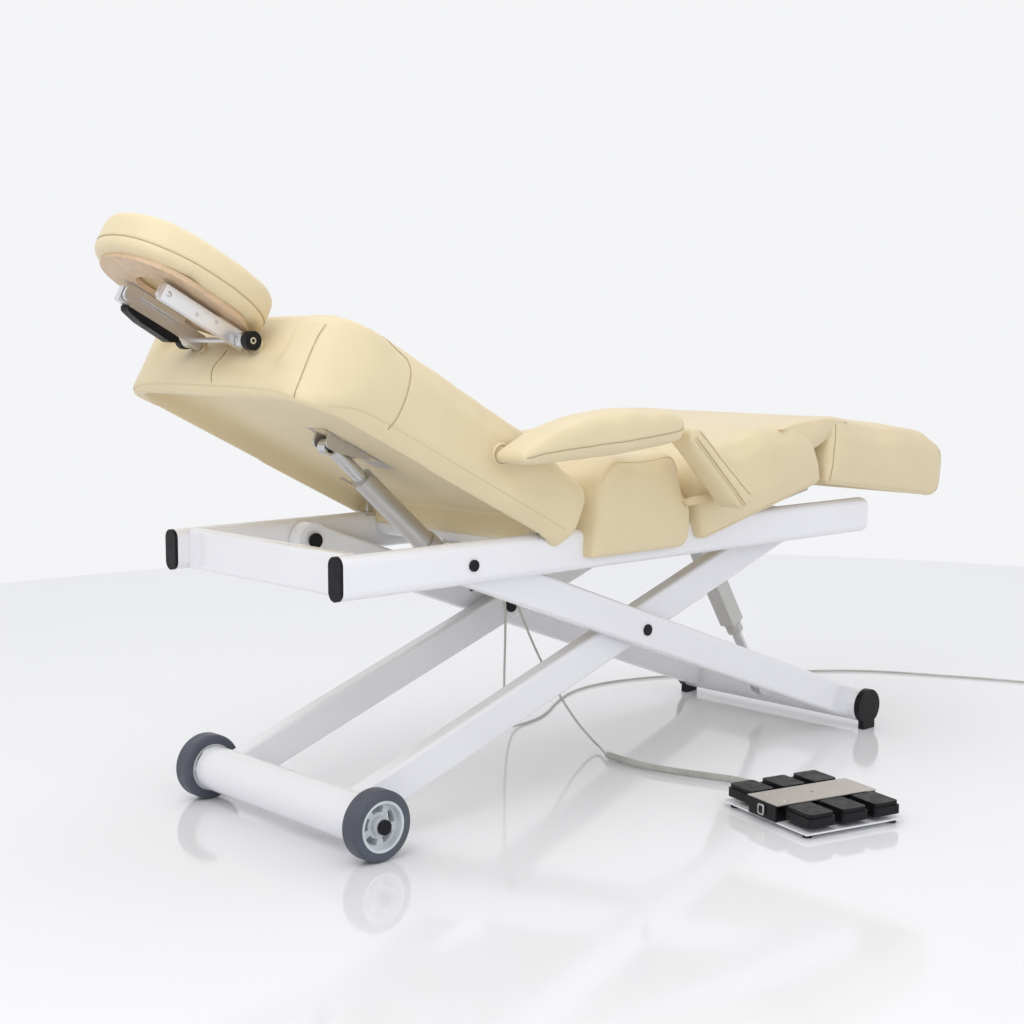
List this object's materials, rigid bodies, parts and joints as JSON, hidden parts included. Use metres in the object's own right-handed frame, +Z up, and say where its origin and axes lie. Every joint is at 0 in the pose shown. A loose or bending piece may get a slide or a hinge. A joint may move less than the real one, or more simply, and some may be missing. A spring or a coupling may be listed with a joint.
{
  "type": "facial treatment bed",
  "caption": "Electric treatment bed on a scissor lift, with reclining back, folding leg rest, padded armrests, adjustable ring headrest and a corded foot switch.",
  "frame": {"origin": "centre of the footprint on the floor, foot switch included and free cords left out", "axes": "+Z up, +X from the head end to the foot end, +Y to the side away from the foot switch"},
  "size_m": [2.6225, 1.2734, 1.1502],
  "materials": {
    "white_powder_coat": "gloss",
    "zinc_steel": "satin",
    "satin_steel": "satin",
    "satin_aluminium": "satin",
    "black_plastic": "satin",
    "black_rubber": "matte",
    "grey_tyre": "matte",
    "pale_plastic": "satin",
    "birch_ply": "satin",
    "cream_upholstery": "satin",
    "tan_lining": "satin",
    "brushed_plate": "satin",
    "grey_cable": "satin",
    "grey_plug": "satin"
  },
  "bodies": {
    "base": {"foot_caps": "black_plastic", "switch_base": "white_powder_coat", "switch_feet": "black_rubber", "switch_housing": "black_plastic", "switch_cover": "brushed_plate", "switch_lead": "grey_cable", "switch_curl": "grey_cable", "mains_lead": "grey_cable", "mains_coil": "grey_cable", "mains_plug": "grey_plug"},
    "outer_arms": {"outer_arms": "white_powder_coat", "foot_tube": "white_powder_coat", "scissor_pins": "black_plastic", "cord_gland": "black_plastic"},
    "inner_arms": {"inner_arms": "white_powder_coat", "inner_cross_tubes": "white_powder_coat", "wheel_axles": "black_plastic", "arm_rollers": "pale_plastic"},
    "near_wheel": {"near_tyre": "grey_tyre", "near_hub": "pale_plastic"},
    "far_wheel": {"far_tyre": "grey_tyre", "far_hub": "pale_plastic"},
    "lift_housing": {"lift_housing": "satin_aluminium"},
    "lift_rod": {"lift_rod": "satin_steel"},
    "frame": {"near_rail": "white_powder_coat", "far_rail": "white_powder_coat", "rail_end_caps": "black_plastic", "crossbars": "white_powder_coat", "rail_brackets": "zinc_steel", "rail_pins": "black_plastic", "control_box": "pale_plastic", "seat_board": "birch_ply", "seat_cushion": "cream_upholstery", "armrest_posts": "zinc_steel"},
    "back": {"back_cushion": "cream_upholstery", "back_board": "tan_lining", "back_brackets": "zinc_steel", "arm_pivot_pins": "satin_steel"},
    "back_tube": {"back_tube": "satin_aluminium"},
    "back_rod": {"back_rod": "satin_steel"},
    "leg": {"leg_cushion": "cream_upholstery", "leg_frame": "zinc_steel"},
    "foot": {"foot_cushion": "cream_upholstery", "foot_frame": "zinc_steel"},
    "leg_tube": {"leg_tube": "satin_aluminium"},
    "leg_rod": {"leg_rod": "satin_steel"},
    "headrest_post": {"headrest_posts": "satin_steel"},
    "headrest": {"headrest_arms": "satin_aluminium", "headrest_knobs": "black_plastic", "headrest_lever": "black_plastic"},
    "ring": {"headrest_links": "satin_aluminium", "headrest_board": "birch_ply", "headrest_cushion": "cream_upholstery"},
    "near_arm_pad": {"near_arm_pad": "cream_upholstery"},
    "far_arm_pad": {"far_arm_pad": "cream_upholstery"},
    "near_arm_strut": {"near_arm_strut": "cream_upholstery"},
    "far_arm_strut": {"far_arm_strut": "cream_upholstery"},
    "rocker_1": {"rocker_1": "black_plastic"},
    "rocker_2": {"rocker_2": "black_plastic"},
    "rocker_3": {"rocker_3": "black_plastic"}
  },
  "joints": [
    {"name": "lift", "type": "hinge", "parent": "base", "child": "outer_arms", "pos_m": [0.79, 0.1798, 0.053], "axis": [0, 1, 0], "range_deg": [-5.5, 7.5]},
    {"name": "scissor", "type": "hinge", "parent": "outer_arms", "child": "inner_arms", "pos_m": [0.054, 0.1798, 0.323], "axis": [0, 1, 0], "range_deg": [-15.01, 11.01]},
    {"name": "frame_level", "type": "hinge", "parent": "outer_arms", "child": "frame", "pos_m": [-0.458, 0.1798, 0.511], "axis": [0, 1, 0], "range_deg": [-7.51, 5.51]},
    {"name": "near_wheel_spin", "type": "hinge", "parent": "inner_arms", "child": "near_wheel", "pos_m": [-0.682, -0.0972, 0.065], "axis": [0, 1, 0], "continuous": true},
    {"name": "far_wheel_spin", "type": "hinge", "parent": "inner_arms", "child": "far_wheel", "pos_m": [-0.682, 0.4568, 0.065], "axis": [0, 1, 0], "continuous": true},
    {"name": "lift_housing_tilt", "type": "hinge", "parent": "inner_arms", "child": "lift_housing", "pos_m": [0.484, 0.1798, 0.466], "axis": [0, 1, 0], "range_deg": [-12.97, 17.68]},
    {"name": "lift_rod_slide", "type": "slide", "parent": "lift_housing", "child": "lift_rod", "axis": [0.5253, 0, -0.8509], "range_m": [-0.08434, 0.11498]},
    {"name": "recline", "type": "hinge", "parent": "frame", "child": "back", "pos_m": [-0.261, 0.1798, 0.582], "axis": [0, 1, 0], "range_deg": [-24, 24]},
    {"name": "back_tube_tilt", "type": "hinge", "parent": "frame", "child": "back_tube", "pos_m": [-0.272, 0.1798, 0.458], "axis": [0, 1, 0], "range_deg": [-19.52, 19.52]},
    {"name": "back_rod_slide", "type": "slide", "parent": "back_tube", "child": "back_rod", "axis": [-0.75, 0, 0.6615], "range_m": [-0.03922, 0.03922]},
    {"name": "leg_raise", "type": "hinge", "parent": "frame", "child": "leg", "pos_m": [0.149, 0.1798, 0.575], "axis": [0, -1, 0], "range_deg": [-9, 6]},
    {"name": "foot_fold", "type": "hinge", "parent": "leg", "child": "foot", "pos_m": [0.562, 0.1798, 0.6005], "axis": [0, -1, 0], "range_deg": [-9.01, 13.51]},
    {"name": "leg_tube_tilt", "type": "hinge", "parent": "frame", "child": "leg_tube", "pos_m": [-0.116, 0.1798, 0.505], "axis": [0, 1, 0], "range_deg": [-2.17, 3.25]},
    {"name": "leg_rod_slide", "type": "slide", "parent": "leg_tube", "child": "leg_rod", "axis": [0.9916, 0, 0.1292], "range_m": [-0.0061, 0.0041]},
    {"name": "near_arm_pad_level", "type": "hinge", "parent": "back", "child": "near_arm_pad", "pos_m": [-0.425, -0.2002, 0.717], "axis": [0, 1, 0], "range_deg": [-24.01, 24.01]},
    {"name": "near_arm_strut_swing", "type": "hinge", "parent": "near_arm_pad", "child": "near_arm_strut", "pos_m": [0.009, -0.2002, 0.733], "axis": [0, 1, 0], "range_deg": [-24.01, 24.01]},
    {"name": "far_arm_pad_level", "type": "hinge", "parent": "back", "child": "far_arm_pad", "pos_m": [-0.425, 0.5598, 0.717], "axis": [0, 1, 0], "range_deg": [-24.01, 24.01]},
    {"name": "far_arm_strut_swing", "type": "hinge", "parent": "far_arm_pad", "child": "far_arm_strut", "pos_m": [0.009, 0.5598, 0.733], "axis": [0, 1, 0], "range_deg": [-24.01, 24.01]},
    {"name": "headrest_height", "type": "slide", "parent": "back", "child": "headrest_post", "axis": [-0.8906, 0, 0.4548], "range_m": [0, 0.07]},
    {"name": "headrest_tilt", "type": "hinge", "parent": "headrest_post", "child": "headrest", "pos_m": [-0.818, 0.1798, 0.924], "axis": [0, 1, 0], "range_deg": [-30, 2]},
    {"name": "ring_tilt", "type": "hinge", "parent": "headrest", "child": "ring", "pos_m": [-0.962, 0.1798, 1.003], "axis": [0, 1, 0], "range_deg": [-14, 1]},
    {"name": "rocker_1_press", "type": "hinge", "parent": "base", "child": "rocker_1", "pos_m": [0.04632, -0.42933, 0.03], "axis": [0.9703, -0.2419, 0], "range_deg": [-1, 1], "stiffness_Nm_per_rad": 12},
    {"name": "rocker_2_press", "type": "hinge", "parent": "base", "child": "rocker_2", "pos_m": [0.122, -0.4482, 0.03], "axis": [0.9703, -0.2419, 0], "range_deg": [-1, 1], "stiffness_Nm_per_rad": 12},
    {"name": "rocker_3_press", "type": "hinge", "parent": "base", "child": "rocker_3", "pos_m": [0.19768, -0.46707, 0.03], "axis": [0.9703, -0.2419, 0], "range_deg": [-1, 1], "stiffness_Nm_per_rad": 12}
  ],
  "couplings": [
    {"joint": "scissor", "follows": "lift", "ratio": -2},
    {"joint": "frame_level", "follows": "lift", "ratio": -1},
    {"joint": "lift_housing_tilt", "follows": "lift", "ratio": 2.3562},
    {"joint": "lift_rod_slide", "follows": "lift", "m_per_rad": 0.8776},
    {"joint": "back_tube_tilt", "follows": "recline", "ratio": 0.8129},
    {"joint": "back_rod_slide", "follows": "recline", "m_per_rad": 0.0934},
    {"joint": "foot_fold", "follows": "leg_raise", "ratio": -1.5},
    {"joint": "leg_tube_tilt", "follows": "leg_raise", "ratio": -0.3601},
    {"joint": "leg_rod_slide", "follows": "leg_raise", "m_per_rad": 0.0382},
    {"joint": "near_arm_pad_level", "follows": "recline", "ratio": -1},
    {"joint": "near_arm_strut_swing", "follows": "recline", "ratio": 1},
    {"joint": "far_arm_pad_level", "follows": "recline", "ratio": -1},
    {"joint": "far_arm_strut_swing", "follows": "recline", "ratio": 1}
  ]
}
